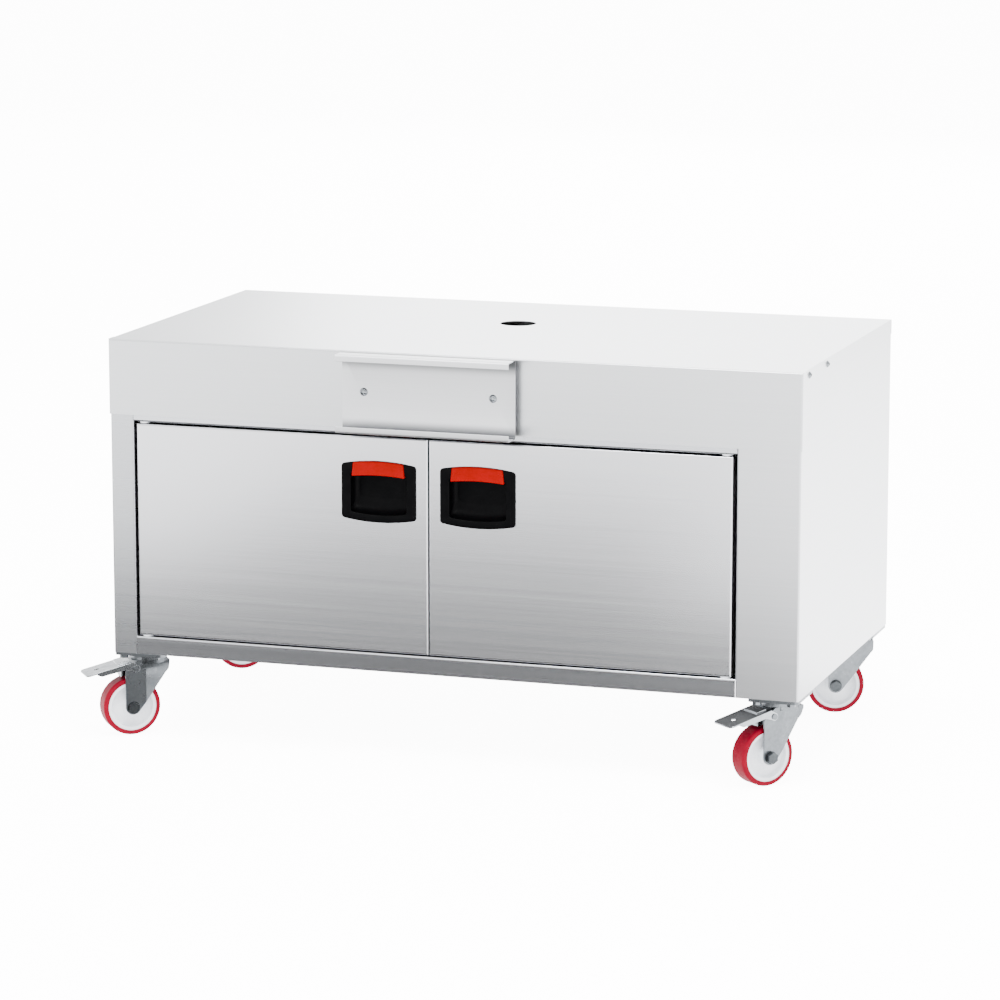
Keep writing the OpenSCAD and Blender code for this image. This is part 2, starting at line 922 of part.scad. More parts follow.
module caster_plate() {
    corner = [plate_w / 2, plate_l / 2];
    color(ZINC)
        difference() {
            union() {
                translate([0, 0, plate_under])
                    linear_extrude(plate_t)
                        polygon(rounded(square_outline(-corner, corner), [for (i = [1:4]) plate_corner]));
                rod_z([0, 0, plate_under - boss_h], boss_r, boss_h);
                rod_z([0, 0, kingpin_foot], kingpin_r, plate_under - kingpin_foot);
                rod_z([0, 0, kingpin_foot], kingpin_head_r, kingpin_head_h);
            }
            at_plate_screws()
                rod_z([0, 0, plate_under - eps], m8_r + slack, plate_t + 2 * eps);
            translate([0, 0, ball_z])
                rotate_extrude()
                    translate([ball_ring_r, 0])
                        circle(r = ball_r + run);
        }
}

// Side view of the fork, from the front of the crown round the axle's eye
module leg_outline() {
    axle = [trail, wheel_r];
    lead = [leg_front_x, head_under - 13.7];
    start = atan2(lead[1] - axle[1], lead[0] - axle[0]) + acos(leg_eye_r / norm(lead - axle)) - 360;
    points = concat(
        [lead, [leg_front_x, head_top], [leg_crown_x, head_top], [leg_back_x, head_top - 17]],
        [for (k = [0:16]) axle + leg_eye_r * turned([1, 0], start * k / 16)]
    );
    polygon(rounded(points, concat([8, 3, 5, 8], [for (k = [0:16]) 0])));
}
module fork() {
    pin_half = pedal_half + fit;
    color(ZINC)
        difference() {
            union() {
                rod_z([0, 0, head_under], head_r, head_t);
                for (y = [-leg_out, leg_in])
                    along_y(y)
                        linear_extrude(leg_t)
                            leg_outline();
                intersection() {
                    along_y(-leg_out)
                        linear_extrude(2 * leg_out)
                            leg_outline();
                    block([-2 * head_r, -leg_out, head_under], [2 * head_r, leg_out, head_top]);
                }
                difference() {
                    rod_z([0, 0, head_top], head_r, plate_under - skirt_gap - head_top);
                    rod_z([0, 0, head_top - eps], head_r - skirt_t, plate_under - head_top);
                }
                rod_y([pivot_x, -pin_half, pivot_z], pivot_pin_r, 2 * pin_half);
                for (y = [-pin_half - pivot_head_t, pin_half])
                    rod_y([pivot_x, y, pivot_z], pivot_pin_r + 1.8, pivot_head_t);
            }
            rod_z([0, 0, head_under - eps], kingpin_r + run, head_t + 2 * eps);
            rod_y([trail, -leg_out - eps, wheel_r], axle_r + run, 2 * leg_out + 2 * eps);
        }
}

module axle() {
    seat = leg_out + axle_washer_t;
    color(ZINC)
        translate([trail, 0, wheel_r]) {
            rod_y([0, -leg_in, 0], sleeve_r, 2 * leg_in);
            rod_y([0, -seat - axle_nut_h - screw_end, 0], axle_r, 2 * seat + axle_nut_h + screw_end + eps);
            for (y = [-seat, leg_out])
                rod_y([0, y, 0], axle_washer_r, axle_washer_t);
            translate([0, seat, 0])
                rotate([-90, 0, 0])
                    hexagon(axle_af, axle_head_h);
            translate([0, -seat - axle_nut_h, 0])
                rotate([-90, 0, 0])
                    hexagon(axle_af, axle_nut_h);
        }
}

// Ring round the axle from a half section in radius and width
module wheel_ring(points, radii) {
    translate([trail, 0, wheel_r])
        rotate([90, 0, 0])
            rotate_extrude()
                polygon(rounded(points, radii));
}
module hub() {
    bore = sleeve_r + run;
    rim = hub_r - hub_rim_t;
    color(NYLON)
        wheel_ring([
            [bore, -boss_w], [hub_boss_r, -boss_w], [hub_boss_r, -hub_web], [rim, -hub_web],
            [rim, -hub_rim_w], [hub_r, -hub_rim_w], [hub_r, hub_rim_w], [rim, hub_rim_w],
            [rim, hub_web], [hub_boss_r, hub_web], [hub_boss_r, boss_w], [bore, boss_w],
        ], [0, 1.5, 2, 3, 1.5, 0, 0, 1.5, 3, 2, 1.5, 0]);
}
module tyre() {
    inner = hub_r + run;
    color(CRIMSON)
        wheel_ring([
            [inner, -tyre_w / 2], [wheel_r, -tyre_w / 2], [wheel_r, tyre_w / 2], [inner, tyre_w / 2]
        ], [0, tyre_shoulder, tyre_shoulder, 0]);
}

// Top face of the brake pedal over x
function pedal_z(x) = pivot_z + pedal_rise - (x - pedal_start) * tan(pedal_slope);
function pedal_point(x, drop) = [x, pedal_z(x) - drop];
module pedal_side() {
    ear = pivot_ear_r * sin(45);
    polygon([
        [pivot_x - ear, pivot_z + ear], pedal_point(pedal_start, 0), pedal_point(pedal_side_end, 0),
        pedal_point(pedal_side_end, 4), pedal_point(pedal_side_end - 8, pedal_side_h),
        pedal_point(leg_back_x, pedal_side_h + 1), [pivot_x + ear, pivot_z - ear],
    ]);
    translate([pivot_x, pivot_z])
        circle(r = pivot_ear_r);
}
module pedal() {
    color(BRIGHT_ZINC)
        difference() {
            union() {
                intersection() {
                    along_y(-pedal_half)
                        linear_extrude(2 * pedal_half)
                            polygon([
                                pedal_point(pedal_start, 0), pedal_point(pedal_reach, 0),
                                pedal_point(pedal_reach, pedal_t), pedal_point(pedal_start, pedal_t),
                            ]);
                    linear_extrude(plate_under)
                        polygon(rounded(
                            square_outline([pedal_start, -pedal_half], [pedal_reach, pedal_half]),
                            [1, 8, 8, 1]
                        ));
                }
                for (y = [-pedal_half, pedal_half - pedal_side_t])
                    along_y(y)
                        linear_extrude(pedal_side_t)
                            pedal_side();
                along_y(-lip_half)
                    linear_extrude(2 * lip_half)
                        polygon([
                            pedal_point(lip_from, 1), pedal_point(lip_from + 2, -lip_rise),
                            pedal_point(lip_to - 2, -lip_rise), pedal_point(lip_to, 1),
                        ]);
                difference() {
                    along_y(-shoe_half)
                        linear_extrude(2 * shoe_half)
                            polygon([
                                pedal_point(shoe_from, 1), pedal_point(shoe_to, 1),
                                [shoe_to, wheel_d - 8], [shoe_from, wheel_d - 8],
                            ]);
                    rod_y([trail, -shoe_half - eps, wheel_r], wheel_r + shoe_gap, 2 * shoe_half + 2 * eps);
                }
            }
            rod_y([pivot_x, -pedal_half - eps, pivot_z], pivot_pin_r + run, 2 * pedal_half + 2 * eps);
            rod_z([pedal_hole_x, 0, pedal_z(pedal_hole_x) - 3 * pedal_t], pedal_hole_r, 6 * pedal_t);
        }
}

worktop();
worktop_angles();
worktop_stiffeners();
left_side_panel();
right_side_panel();
back_panel();
top_rail();
bottom_rail();
floor_panel();
floor_bearer();
left_caster_rail();
right_caster_rail();
front_bracket();
bracket_spacers();
bracket_screws();
bracket_nuts();
side_screws();
side_rivet_nuts();
pivot_bushes();
magnetic_catches();
plate_screws();
plate_nuts();
swivel_balls();
on_left_door() door_skin();  // left_door_skin
on_left_door() door_liner();  // left_door_liner
on_left_door() handle();  // left_door_handle
on_left_door() grip_cover();  // left_door_grip_cover
on_left_door() pivot_pins();  // left_door_pivot_pins
on_left_door() strike_plate();  // left_door_strike_plate
on_right_door() door_skin();  // right_door_skin
on_right_door() door_liner();  // right_door_liner
on_right_door() handle();  // right_door_handle
on_right_door() grip_cover();  // right_door_grip_cover
on_right_door() pivot_pins();  // right_door_pivot_pins
on_right_door() strike_plate();  // right_door_strike_plate
for (c = CORNERS) {
    on_corner(c) caster_plate();
    on_corner(c, c[2]) fork();
    on_corner(c, c[2]) axle();
    on_corner(c, c[2]) hub();
    on_corner(c, c[2]) tyre();
    on_corner(c, c[2]) pedal();
}
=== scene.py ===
# %% [markdown]
# # A stainless steel cabinet stand
# The cabinet is folded from brushed sheet and stands on four swivel casters. Its solids come
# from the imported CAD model, which fixes every size. This lesson gives them their finishes, adds
# the moulded and pressed pieces that a plain solid only hints at, and sets up light and camera.

# %% Load the CAD model as a fixed frame
import json
import math

import bmesh
import bpy
import numpy as np
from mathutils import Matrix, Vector


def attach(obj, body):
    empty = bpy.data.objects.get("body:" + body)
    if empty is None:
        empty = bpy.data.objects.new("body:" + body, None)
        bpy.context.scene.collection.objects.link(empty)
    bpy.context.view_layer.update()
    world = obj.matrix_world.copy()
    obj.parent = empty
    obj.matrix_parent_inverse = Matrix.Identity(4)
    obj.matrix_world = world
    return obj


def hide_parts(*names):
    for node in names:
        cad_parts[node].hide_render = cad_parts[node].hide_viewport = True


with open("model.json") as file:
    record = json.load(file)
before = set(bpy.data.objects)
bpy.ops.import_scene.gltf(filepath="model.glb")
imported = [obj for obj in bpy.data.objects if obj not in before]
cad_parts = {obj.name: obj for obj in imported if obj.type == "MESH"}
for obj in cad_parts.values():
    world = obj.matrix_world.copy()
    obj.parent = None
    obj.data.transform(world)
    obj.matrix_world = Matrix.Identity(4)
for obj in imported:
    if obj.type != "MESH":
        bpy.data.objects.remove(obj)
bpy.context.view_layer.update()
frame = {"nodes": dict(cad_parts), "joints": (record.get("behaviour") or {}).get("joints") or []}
nodes = frame["nodes"]

# %% [markdown]
# ## Camera
# The camera stands where the photograph was taken from: about 7 m in front of the cabinet, to
# its right and at head height, with a long lens that keeps the upright edges nearly parallel.
# Its place was worked out from the corners of the cabinet, whose sizes the CAD model fixes.

# %% Place the camera
CAMERA_AT = (2.260, -6.935, 1.766)
CAMERA_YAW = math.radians(18.135)
CAMERA_DOWN = math.radians(10.689)
LENS_MM, SENSOR_MM = 155.3, 36
SIGHT_M = 200

camera = bpy.data.objects.new("camera", bpy.data.cameras.new("camera"))
bpy.context.scene.collection.objects.link(camera)
camera.location = CAMERA_AT
camera.rotation_euler = (math.pi / 2 - CAMERA_DOWN, 0, CAMERA_YAW)
camera.data.lens = LENS_MM
camera.data.sensor_width = SENSOR_MM
camera.data.clip_end = SIGHT_M
bpy.context.scene.camera = camera
print("camera at", CAMERA_AT, "with a lens of", LENS_MM, "mm")

# %% [markdown]
# ## Colours and shader nodes
# A colour is easiest to choose as an sRGB hex value, but shaders add light in linear units, so
# one function turns hex to linear. Another adds a shader node with its settings and its links.

# %% Helpers for colours and shader nodes


def linear(hex_colour):
    """sRGB hex to linear RGBA: below 0.04045 a straight line, above it a power of 2.4."""
    srgb = np.array([int(hex_colour[i:i + 2], 16) for i in (1, 3, 5)]) / 255
    rgb = np.where(srgb <= 0.04045, srgb / 12.92, ((srgb + 0.055) / 1.055) ** 2.4)
    return (*rgb.tolist(), 1.0)


def add(tree, kind, inputs=None, **settings):
    """Adds a node: settings are its own properties, inputs are values or sockets to link."""
    new = tree.nodes.new(kind)
    for name, value in settings.items():
        setattr(new, name, value)
    for key, value in (inputs or {}).items():
        if isinstance(value, bpy.types.NodeSocket):
            tree.links.new(value, new.inputs[key])
        else:
            new.inputs[key].default_value = value
    return new


def new_material(name, **sockets):
    """A material with one Principled shader, its constant sockets set from their names."""
    material = bpy.data.materials.new(name)
    material.use_nodes = True
    tree = material.node_tree
    shader = tree.nodes["Principled BSDF"]
    for key, value in sockets.items():
        shader.inputs[key.replace("_", " ")].default_value = value
    place = add(tree, "ShaderNodeTexCoord").outputs["Object"]
    return material, tree, shader, place


def dress(material, *names):
    """Gives one material to CAD nodes."""
    for name in names:
        data = nodes[name].data
        data.materials.clear()
        data.materials.append(material)


print("middle grey #808080 is", round(linear("#808080")[0], 3), "in linear light")

# %% [markdown]
# ## Brushed stainless steel
# The sheets are austenitic stainless steel with a brushed finish: a belt leaves fine scratches
# that all run one way. Across the scratches the metal scatters light widely, along them hardly
# at all, which gives soft streaks. A noise that is stretched along the grain drives a little
# colour, roughness and bump. Real scratches are about 0.1 mm apart, too fine to show from this
# camera, so they are drawn 1.6 mm apart, with bands 8 mm apart, and half a metre long.

# %% The brushed finish
SCRATCH_MM, STREAK_MM = 1.6, 500
ACROSS, ALONG = 1000 / SCRATCH_MM, 1000 / STREAK_MM
BANDS_WIDER = 5
CLOUDS_PER_M = 2.2
TONE_FROM, TONE_TO = 1.1, 1.9
STREAK_FROM, STREAK_TO = 0.7, 1.3
STREAK_ROUGHNESS = 0.015
SCRATCH_STRENGTH, SCRATCH_DEPTH_M = 0.006, 0.0004


def brushed_steel(name, light, dark, roughness, grain):
    """Brushed sheet: grain holds how fast the noise changes along X, Y and Z, per metre.

    The streaks are the fine noise plus the same noise five times as wide. They drive roughness
    and bump. With a slow cloud added to them they drive the colour, from dark at a sum of 1.1 to
    light at 1.9.
    """
    material, tree, shader, place = new_material(name, Metallic=1.0)
    wide = [rate / BANDS_WIDER for rate in grain]
    fine = add(tree, "ShaderNodeMapping", {"Vector": place, "Scale": grain})
    coarse = add(tree, "ShaderNodeMapping", {"Vector": place, "Scale": wide})
    scratches = add(tree, "ShaderNodeTexNoise", {"Vector": fine.outputs[0], "Scale": 1.0, "Detail": 3.0})
    bands = add(tree, "ShaderNodeTexNoise", {"Vector": coarse.outputs[0], "Scale": 1.0, "Detail": 2.0})
    cloud = add(tree, "ShaderNodeTexNoise", {"Vector": place, "Scale": CLOUDS_PER_M, "Detail": 1.0})
    streak = add(tree, "ShaderNodeMath", {0: scratches.outputs[0], 1: bands.outputs[0]}, operation="ADD")
    mixed = add(tree, "ShaderNodeMath", {0: streak.outputs[0], 1: cloud.outputs[0]}, operation="ADD")
    tone = add(tree, "ShaderNodeMapRange", {0: mixed.outputs[0], 1: TONE_FROM, 2: TONE_TO})
    colour = add(tree, "ShaderNodeMix", {0: tone.outputs[0], 6: linear(dark), 7: linear(light)},
                 data_type="RGBA")
    rough = add(tree, "ShaderNodeMapRange", {0: streak.outputs[0], 1: STREAK_FROM, 2: STREAK_TO,
                                             3: roughness - STREAK_ROUGHNESS,
                                             4: roughness + STREAK_ROUGHNESS})
    bump = add(tree, "ShaderNodeBump", {"Height": streak.outputs[0], "Strength": SCRATCH_STRENGTH,
                                        "Distance": SCRATCH_DEPTH_M})
    tree.links.new(colour.outputs[2], shader.inputs["Base Color"])
    tree.links.new(rough.outputs[0], shader.inputs["Roughness"])
    tree.links.new(bump.outputs[0], shader.inputs["Normal"])
    return material


print(f"scratches {SCRATCH_MM} mm apart, bands {SCRATCH_MM * BANDS_WIDER} mm, length {STREAK_MM} mm")

# %% [markdown]
# The worktop, the bracket and the pieces inside are brushed from left to right, and so their
# noise is stretched along X alone. The side panels fold round the corner, where the scratches
# turn from X to Y, so theirs is stretched along both, and the doors and rails are treated alike.
# The left side sheet is a shade darker, as the left post is in the photograph. The rails keep the
# smoother finish of the mill, and the bracket is the roughest, which makes it look evenly pale.

# %% Make the steel of each sheet
LENGTHWISE, ROUND_THE_CORNER = (ALONG, ACROSS, ACROSS), (ALONG, ALONG, ACROSS)

top_steel = brushed_steel("brushed_stainless_top", "#D4D6D8", "#CED0D3", 0.32, LENGTHWISE)
side_steel = brushed_steel("brushed_stainless_side", "#D6D7DA", "#CFD1D4", 0.34, ROUND_THE_CORNER)
left_steel = brushed_steel("brushed_stainless_left_side", "#BABCBF", "#B3B5B9", 0.28, ROUND_THE_CORNER)
door_steel = brushed_steel("brushed_stainless_door", "#D8D9DC", "#D1D2D6", 0.25, ROUND_THE_CORNER)
rail_steel = brushed_steel("mill_finish_stainless_rail", "#C8CACE", "#B6B8BC", 0.22, ROUND_THE_CORNER)
bracket_steel = brushed_steel("brushed_stainless_bracket", "#E2E3E5", "#DBDCDF", 0.44, LENGTHWISE)
inner_steel = brushed_steel("plain_stainless_inside", "#A8AAAC", "#9A9C9E", 0.42, LENGTHWISE)

dress(top_steel, "worktop")
dress(bracket_steel, "front_bracket")
dress(side_steel, "right_side_panel", "back_panel")
dress(left_steel, "left_side_panel")
dress(door_steel, "left_door_skin", "right_door_skin")
dress(rail_steel, "top_rail", "bottom_rail")
dress(inner_steel, "worktop_angles", "worktop_stiffeners", "floor_panel", "floor_bearer",
      "left_caster_rail", "right_caster_rail", "left_door_liner", "right_door_liner")
print("materials so far:", len(bpy.data.materials))

# %% [markdown]
# ## Painted shade in the folds
# The bracket is a channel that opens to the front. In the photograph its web gets darker towards the folds,
# where the lips shade it. What the metal mirrors leaves the folds too pale, so that shade is painted into
# the colour, by the height alone. Its middle lies 4 mm below that of the web, to match the photograph. The
# lips and the fronts of the flanges stay bright.

# %% Paint shade into the bracket near its folds
SHADE_MIDDLE_Z, SHADE_BEHIND_Y = 0.6185, -0.345
SHADE_FROM, SHADE_TO = 0.038, 0.061


def paint_fold_shade(material, shade_colour):
    """Mixes a painted shade colour into the web, by a share that depends on the place on the bracket.

    The share is a smooth step of |z - 618.5| from 0 at 38 mm to 1 at 61 mm. It is 0 in front of
    y = -345 mm, where the lips and the fronts of the flanges are.
    """
    tree = material.node_tree
    shader = tree.nodes["Principled BSDF"]
    place = add(tree, "ShaderNodeTexCoord").outputs["Object"]
    point = add(tree, "ShaderNodeSeparateXYZ", {0: place})
    height = add(tree, "ShaderNodeMath", {0: point.outputs[2], 1: SHADE_MIDDLE_Z}, operation="SUBTRACT")
    away = add(tree, "ShaderNodeMath", {0: height.outputs[0]}, operation="ABSOLUTE")
    fold = add(tree, "ShaderNodeMapRange", {0: away.outputs[0], 1: SHADE_FROM, 2: SHADE_TO},
               interpolation_type="SMOOTHSTEP")
    web = add(tree, "ShaderNodeMath", {0: point.outputs[1], 1: SHADE_BEHIND_Y}, operation="GREATER_THAN")
    share = add(tree, "ShaderNodeMath", {0: fold.outputs[0], 1: web.outputs[0]}, operation="MULTIPLY")
    brushed = shader.inputs["Base Color"].links[0].from_socket
    # painted shade: a dark grey mixed over the brushed colour near the folds
    shaded = add(tree, "ShaderNodeMix", {0: share.outputs[0], 6: brushed, 7: linear(shade_colour)},
                 data_type="RGBA")
    tree.links.new(shaded.outputs[2], shader.inputs["Base Color"])


# painted shade on the bracket's web towards both folds, where the lips shade it
paint_fold_shade(bracket_steel, "#5E6062")
print("nodes in the bracket's steel:", len(bracket_steel.node_tree.nodes))

# %% [markdown]
# ## Zinc, plastics and polyurethane
# The casters are zinc plated steel, greyer than the sheet and a little blue, and their pedals are brighter.
# The screws are plated too, and smoother. The axle bolts are blackened. The top of one brake pedal gets a
# painted dark reflection: a near black paint in place of the dark that its zinc mirrors. The handles are
# black moulded nylon with a fine spark-eroded texture, and their grip covers are smoother red ABS. The
# wheels have white nylon hubs with a crimson polyurethane tread. The photograph shows hardly any sheen on
# the handles, the covers and the tyres, so their specular level is far below the usual 0.5.
#
# None of these has a grain, so one function gives them all a cloudy noise, each at its own size.
# The real crystals of zinc and the real moulding texture are too fine to show from this camera,
# so they are drawn 1.2 to 6 mm wide.

# %% The cloudy finish
SMUDGES_PER_M = 60.0
SMUDGE_FROM, SMUDGE_TO = 0.75, 1.25
SMUDGE_ROUGHNESS = 0.03
GRIT_STRENGTH = 0.5


def cloudy(name, light, dark, size_mm, roughness, bump_mm, **sockets):
    """A finish whose colour, roughness and height follow a noise with features of size_mm.

    Colour and roughness follow that noise plus smudges 17 mm wide, and the height follows the
    noise alone. Where the surface is light it is also smoother.
    """
    material, tree, shader, place = new_material(name, **sockets)
    grit = add(tree, "ShaderNodeTexNoise", {"Vector": place, "Scale": 1000 / size_mm, "Detail": 4.0})
    smudge = add(tree, "ShaderNodeTexNoise", {"Vector": place, "Scale": SMUDGES_PER_M, "Detail": 2.0})
    both = add(tree, "ShaderNodeMath", {0: grit.outputs[0], 1: smudge.outputs[0]}, operation="ADD")
    tone = add(tree, "ShaderNodeMapRange", {0: both.outputs[0], 1: SMUDGE_FROM, 2: SMUDGE_TO})
    colour = add(tree, "ShaderNodeMix", {0: tone.outputs[0], 6: linear(dark), 7: linear(light)},
                 data_type="RGBA")
    rough = add(tree, "ShaderNodeMapRange", {0: both.outputs[0], 1: SMUDGE_FROM, 2: SMUDGE_TO,
                                             3: roughness + SMUDGE_ROUGHNESS,
                                             4: roughness - SMUDGE_ROUGHNESS})
    bump = add(tree, "ShaderNodeBump", {"Height": grit.outputs[0], "Strength": GRIT_STRENGTH,
                                        "Distance": bump_mm / 1000})
    tree.links.new(colour.outputs[2], shader.inputs["Base Color"])
    tree.links.new(rough.outputs[0], shader.inputs["Roughness"])
    tree.links.new(bump.outputs[0], shader.inputs["Normal"])
    return material


print(f"smudges {round(1000 / SMUDGES_PER_M)} mm wide")

# %% Make the materials of the small parts
zinc = cloudy("zinc_plated_steel", "#7E8286", "#72767A", 6.0, 0.30, 0.006, Metallic=1.0)
bright_zinc = cloudy("bright_zinc_plated_steel", "#B0B4B8", "#A2A6AA", 6.0, 0.20, 0.005, Metallic=1.0)
screw_zinc = cloudy("zinc_plated_screw", "#8A8E92", "#7C8084", 4.0, 0.16, 0.005, Metallic=1.0)
dark_bolt = cloudy("blackened_bolt_steel", "#54585A", "#46494C", 5.0, 0.36, 0.02, Metallic=1.0)
# painted dark reflection: near black paint for the top of one brake pedal, in place of the dark its zinc
# mirrors
dark_top_paint = cloudy("painted_dark_reflection_pedal_top", "#1A1C1E", "#121416", 3.0, 0.50, 0.02)
black_nylon = cloudy("black_moulded_nylon", "#050506", "#020203", 1.2, 0.38, 0.05,
                     Specular_IOR_Level=0.04)
red_abs = cloudy("red_moulded_abs", "#8C0000", "#820000", 2.0, 0.30, 0.01, Specular_IOR_Level=0.03)
white_nylon = cloudy("white_moulded_nylon", "#F2F4F8", "#E4E7EC", 2.5, 0.42, 0.03)
crimson_pu = cloudy("crimson_polyurethane", "#80001E", "#70001B", 3.0, 0.40, 0.03,
                    Specular_IOR_Level=0.06)
print("materials:", len(bpy.data.materials))

# %% Dress the small parts
CASTERS = ("front_left_caster", "front_right_caster", "back_left_caster", "back_right_caster")

dress(zinc, "bracket_spacers", "bracket_nuts", "side_rivet_nuts", "plate_screws", "plate_nuts")
dress(screw_zinc, "bracket_screws", "side_screws")
dress(bright_zinc, "swivel_balls")
dress(white_nylon, "pivot_bushes")
dress(black_nylon, "magnetic_catches")
for side in ("left", "right"):
    dress(black_nylon, f"{side}_door_handle")
    dress(red_abs, f"{side}_door_grip_cover")
    dress(zinc, f"{side}_door_pivot_pins", f"{side}_door_strike_plate")
for caster in CASTERS:
    dress(zinc, f"{caster}_plate", f"{caster}_fork")
    dress(dark_bolt, f"{caster}_axle")
    dress(bright_zinc, f"{caster}_pedal")
    dress(white_nylon, f"{caster}_hub")
    dress(crimson_pu, f"{caster}_tyre")
print("bare nodes:", [name for name, node in nodes.items() if not node.data.materials])

# %% [markdown]
# ## Moulded handles
# The black handles are injection moulded nylon: a flange that lies on the door, arched at its top
# and bottom, round a scooped bowl for the fingers. Such a form could be cut from blocks, but
# every edge of a moulding is rounded and every wall leans, so it is built from outlines instead.
# Each ring is a rounded rectangle at its own depth, and a skin joins the rings from the back of
# the bowl, round the edge of the flange and through the window, down to the bowl's floor.

# %% The rounded rectangle
MM = 0.001
ARCH_RISE, HANDLE_HALF = 6.5, 65.5
CORNER_POINTS, SIDE_POINTS = 9, 15
SMALLEST_CORNER = 0.3

# A ring runs along the top from right to left, down the left side and back along the bottom
quarter = np.linspace(0, np.pi / 2, CORNER_POINTS)
level = np.linspace(1, -1, SIDE_POINTS + 2)[1:-1]
cosine, sine = np.cos(quarter), np.sin(quarter)
full, flat_side = np.ones(CORNER_POINTS), np.ones(SIDE_POINTS)
CORE = np.array([np.concatenate([full, level, -full, -full, -level, full]),
                 np.concatenate([full, flat_side, full, -full, -flat_side, -full])])
ARC = np.array([np.concatenate([cosine, 0 * level, -sine, -cosine, 0 * level, sine]),
                np.concatenate([sine, flat_side, cosine, -sine, -flat_side, -cosine])])


def rows(outline, inward, depth):
    """An outline (half width, top, bottom, corner) moved inwards by each value, at each depth."""
    inward, depth = np.broadcast_arrays(np.array(inward, float), np.array(depth, float))
    moved = np.array(outline, float) - inward[:, None] * [1, 1, -1, 1]
    moved[:, 3] = np.maximum(moved[:, 3], SMALLEST_CORNER)
    return np.column_stack([moved, depth])


def arched_rings(table, foot, flare=0.0):
    """One ring per row of (half width, top, bottom, corner, depth), in millimetres.

    A rounded rectangle is a smaller rectangle plus a circle: core * (half - corner) + arc * corner.
    It then rises by 6.5 (1 - (x / 65.5)^2) at its top edge and by foot times that at its bottom
    edge, where it is also flare wider.
    """
    half, top, bottom, corner, depth = (column[:, None] for column in table.T)
    tall = (top - bottom) / 2
    x = CORE[0] * (half - corner) + ARC[0] * corner
    z = CORE[1] * (tall - corner) + ARC[1] * corner
    share = (z / tall + 1) / 2
    rise = ARCH_RISE * (1 - (x / HANDLE_HALF) ** 2) * (share + foot * (1 - share))
    wide = x * (1 + flare * (1 - share) / half)
    return np.stack([wide, np.broadcast_to(depth, x.shape), (top + bottom) / 2 + z + rise], axis=-1)


print("points in a ring:", CORE.shape[1])

# %% [markdown]
# A new piece has to ride on a body, so that it moves with it. If it stands for a CAD node, it has
# to name it, so that the node is hidden. One function does both for every new piece here.

# %% The skin over the rings, and its place on the object
CRISP = math.radians(40)


def skin(name, rings, at):
    """Joins each ring to the next with quads, closes both ends and moves the lot to a place."""
    index = np.arange(rings.shape[0] * rings.shape[1]).reshape(rings.shape[:2])
    ahead = np.roll(index, -1, axis=1)
    quads = np.stack([index[:-1], ahead[:-1], ahead[1:], index[1:]], axis=-1).reshape(-1, 4)
    mesh = bpy.data.meshes.new(name)
    points = (rings.reshape(-1, 3) + at) * MM
    mesh.from_pydata(points.tolist(), [], [*quads.tolist(), index[0][::-1].tolist(), index[-1].tolist()])
    mesh.shade_smooth()
    mesh.set_sharp_from_angle(angle=CRISP)
    return mesh


def mount(name, mesh, finish, body, slot, *stands_for):
    """Makes a mesh a piece of the object: finish, body to ride on and the nodes it replaces; slot is not
    used.
    """
    mesh.materials.append(finish)
    piece = bpy.data.objects.new(name, mesh)
    bpy.context.scene.collection.objects.link(piece)
    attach(piece, body)
    if stands_for:
        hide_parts(*stands_for)
    print(f"{name}: {len(mesh.polygons)} faces")
    return piece


print(f"a moulding stays crisp where it turns by more than {math.degrees(CRISP):.0f} degrees")

# %% [markdown]
# The table below goes round the moulding in the order in which the skin is stretched over it. An
# outline is a half width, a top, a bottom and a corner radius, in millimetres from the handle's
# middle. Depths are measured from the face of the door, and those in front of it are negative.

# %% Mould both handles
DOOR_FRONT = -315.0
HANDLE_X, HANDLE_Z = {"left": -119.5, "right": 53.5}, 452.5
FLANGE, WINDOW = (65.5, 45.5, -45.5, 5.0), (49.0, 25.2, -32.5, 4.0)
BOWL_BACK, BOWL_MOUTH = (56.0, 37.0, -37.0, 5.0), (53.5, 34.5, -34.5, 5.0)
BOWL_FLOOR = (42.0, 26.0, -8.0, 9.0)
FLANGE_EDGE, FLANGE_ROUND = 0.8, 2.2
WINDOW_EDGE, WINDOW_ROUND = 1, 2
BOWL_STRAIGHT, BOWL_ROUND = 20, 6
UNDER_WINDOW, SCOOP_DEPTH = 0.6, 22.9
BEHIND_FLANGE = 0.2

bend = np.linspace(0, np.pi / 2, 8)
scoop = np.linspace(0, np.pi / 2, 20)
floor_share = 1 - np.cos(scoop)
scooped = np.array(BOWL_MOUTH) + floor_share[:, None] * (np.array(BOWL_FLOOR) - BOWL_MOUTH)
handle_table = np.vstack([
    rows(BOWL_BACK, BOWL_ROUND * (1 - np.sin(bend)), BOWL_STRAIGHT + BOWL_ROUND * np.cos(bend)),
    rows(BOWL_BACK, [0], [BEHIND_FLANGE]),
    rows(FLANGE, [0, 0], [0, -FLANGE_EDGE]),
    rows(FLANGE, FLANGE_ROUND * (1 - np.cos(bend)), -FLANGE_EDGE - FLANGE_ROUND * np.sin(bend)),
    rows(WINDOW, -WINDOW_ROUND * (1 - np.sin(bend)), -WINDOW_EDGE - WINDOW_ROUND * np.cos(bend)),
    rows(WINDOW, [0], [0]),
    np.column_stack([scooped, UNDER_WINDOW + SCOOP_DEPTH * np.sin(scoop)]),
])
for side, x in HANDLE_X.items():
    at = (x, DOOR_FRONT, HANDLE_Z)
    mesh = skin(f"{side}_handle_moulding", arched_rings(handle_table, foot=-1.0), at)
    mount(mesh.name, mesh, black_nylon, f"{side}_door", "black_plastic", f"{side}_door_handle")

# %% [markdown]
# ## Red grip covers
# A red cover snaps over the top of each handle. Its face is slightly crowned, and at its lower
# edge a lip turns back into the bowl, which is what the fingers pull on. Both arches run the same
# way here, so the rings get a foot that rises with the top.

